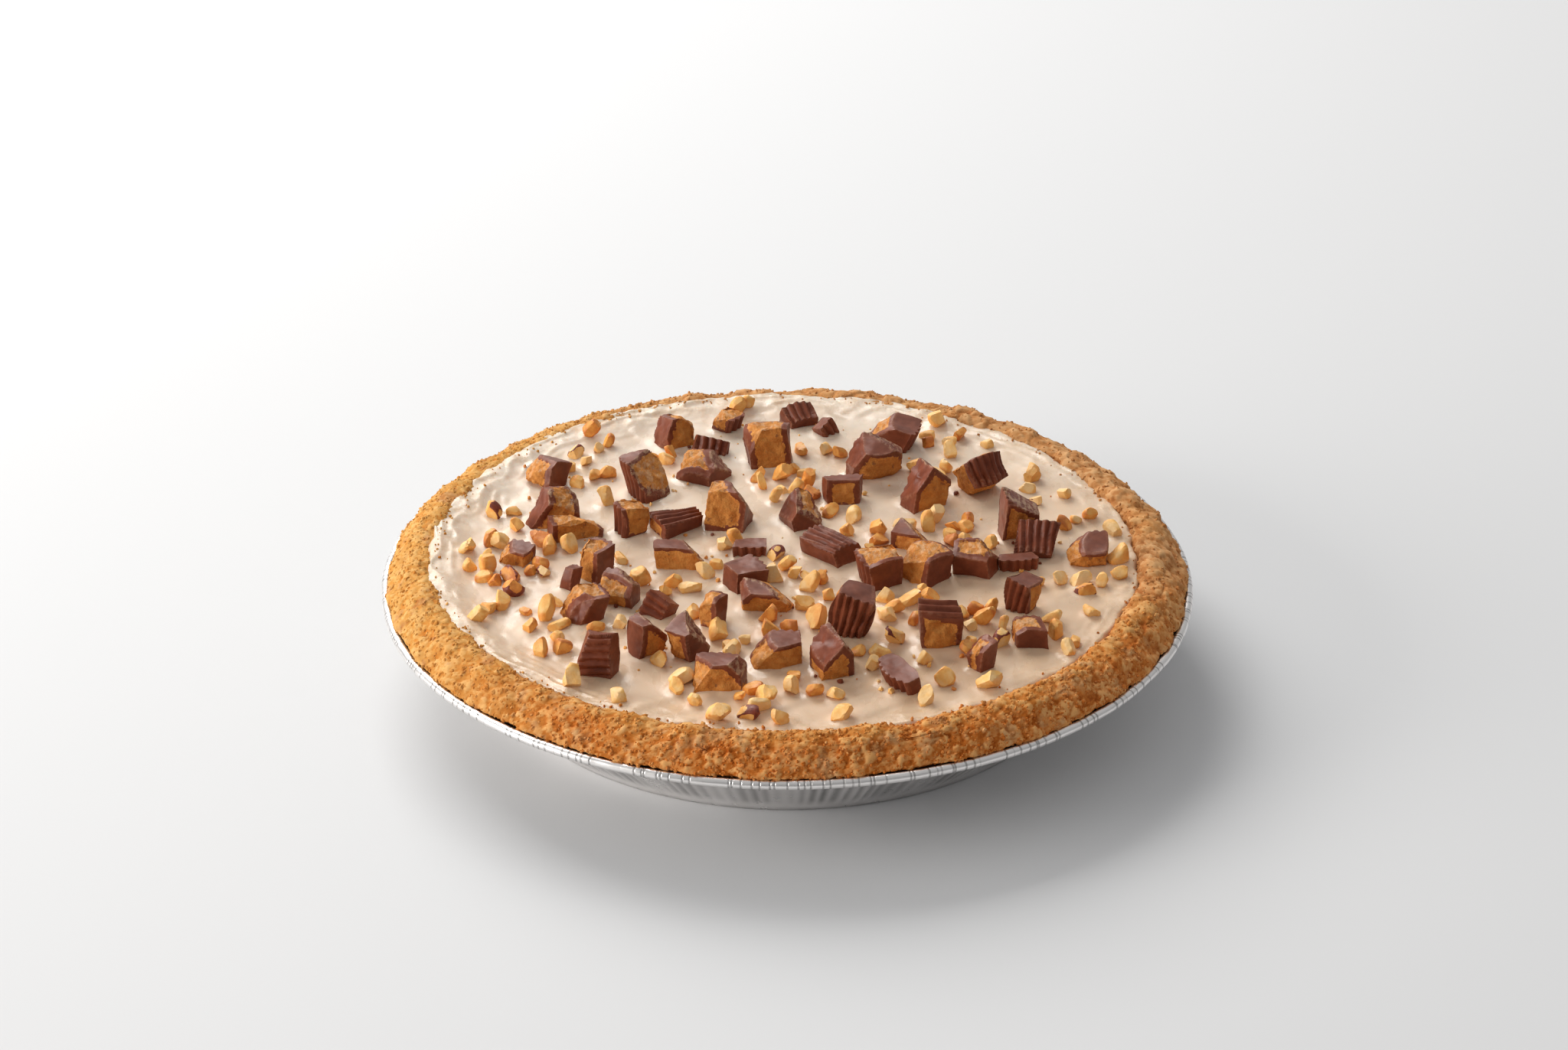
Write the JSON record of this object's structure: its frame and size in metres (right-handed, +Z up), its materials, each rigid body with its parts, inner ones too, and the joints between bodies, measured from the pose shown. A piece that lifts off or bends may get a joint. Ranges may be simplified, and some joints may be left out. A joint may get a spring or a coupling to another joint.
{
  "type": "icebox pie",
  "caption": "Round icebox pie in a rimmed foil tin: golden crumb crust, smooth tan cream, topped with ribbed chocolate peanut butter cup pieces and chopped peanuts.",
  "frame": {"origin": "middle of the tin's base, on the surface it stands on", "axes": "+Z up through the pie, +X to the right and +Y away from the viewer in the picture"},
  "size_m": [0.222, 0.222, 0.0486],
  "materials": {
    "foil": "bright pressed foil",
    "crumb": "dry pressed crumb",
    "cream": "soft satin cream",
    "chocolate": "satin milk chocolate over a paste core"
  },
  "bodies": {
    "root": {"foil_tin": "foil", "crumb_crust": "crumb", "cream_filling": "cream", "cup_piece_01": "chocolate", "cup_piece_02": "chocolate", "cup_piece_03": "chocolate", "cup_piece_04": "chocolate", "cup_piece_05": "chocolate", "cup_piece_06": "chocolate", "cup_piece_07": "chocolate", "cup_piece_08": "chocolate", "cup_piece_09": "chocolate", "cup_piece_10": "chocolate", "cup_piece_11": "chocolate", "cup_piece_12": "chocolate", "cup_piece_13": "chocolate", "cup_piece_14": "chocolate", "cup_piece_15": "chocolate", "cup_piece_16": "chocolate", "cup_piece_17": "chocolate", "cup_piece_18": "chocolate", "cup_piece_19": "chocolate", "cup_piece_20": "chocolate", "cup_piece_21": "chocolate", "cup_piece_22": "chocolate", "cup_piece_23": "chocolate", "cup_piece_24": "chocolate", "cup_piece_25": "chocolate", "cup_piece_26": "chocolate", "cup_piece_27": "chocolate", "cup_piece_28": "chocolate", "cup_piece_29": "chocolate", "cup_piece_30": "chocolate", "cup_piece_31": "chocolate", "cup_piece_32": "chocolate", "cup_piece_33": "chocolate", "cup_piece_34": "chocolate", "cup_piece_35": "chocolate", "cup_piece_36": "chocolate", "cup_piece_37": "chocolate", "cup_piece_38": "chocolate", "cup_piece_39": "chocolate", "cup_piece_40": "chocolate", "cup_piece_41": "chocolate", "cup_piece_42": "chocolate", "cup_piece_43": "chocolate", "cup_piece_44": "chocolate", "cup_piece_45": "chocolate", "cup_piece_46": "chocolate", "cup_piece_47": "chocolate", "cup_piece_48": "chocolate", "cup_piece_49": "chocolate", "cup_piece_50": "chocolate", "cup_piece_51": "chocolate", "cup_piece_52": "chocolate"}
  },
  "joints": []
}
